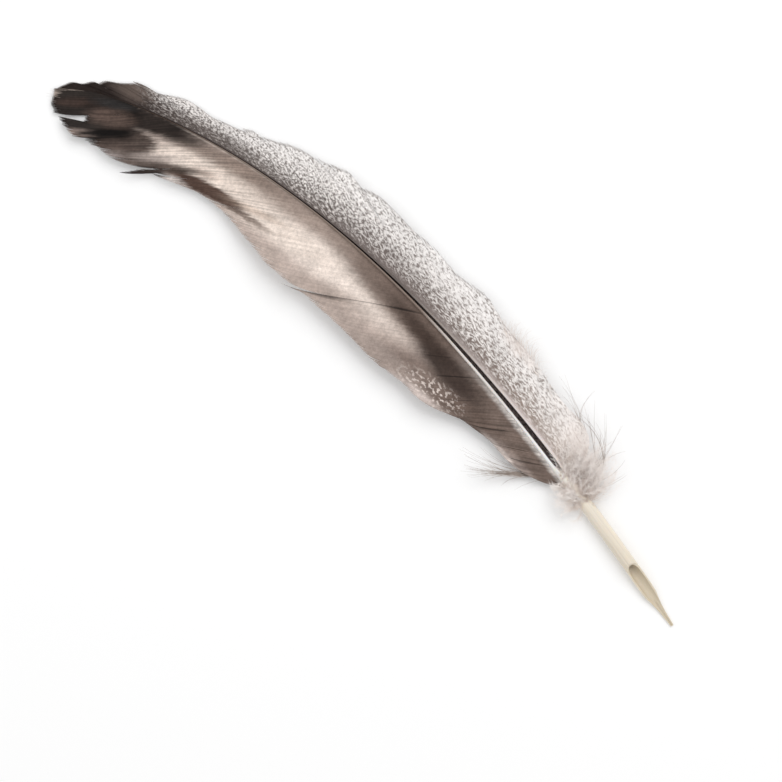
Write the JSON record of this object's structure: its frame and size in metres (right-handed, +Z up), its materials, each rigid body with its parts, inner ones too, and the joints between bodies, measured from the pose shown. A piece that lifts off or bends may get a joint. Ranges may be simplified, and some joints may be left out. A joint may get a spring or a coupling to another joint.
{
  "type": "goose quill feather",
  "caption": "Goose wing feather cut as a quill pen: swept grooved shaft, hollow barrel with a slit nib, mottled grey vane, brown and cream vane, down at the foot.",
  "frame": {"origin": "on the table under the middle of the feather's box, the feather lying with its grooved side up", "axes": "+X from the tip towards the pen point, +Y towards the mottled vane, +Z up"},
  "size_m": [0.2142, 0.0438, 0.0065],
  "materials": {
    "mottled_vane": "white barbs finely flecked with dark grey, dry and matte with a faint silky sheen",
    "brown_vane": "brown and cream barbs with a faint silky sheen, near black at the tip",
    "quill": "pale horn, smooth and half glossy",
    "down": "soft beige down and loose hairs, matte"
  },
  "bodies": {
    "root": {"feather": "mottled_vane"}
  },
  "joints": []
}
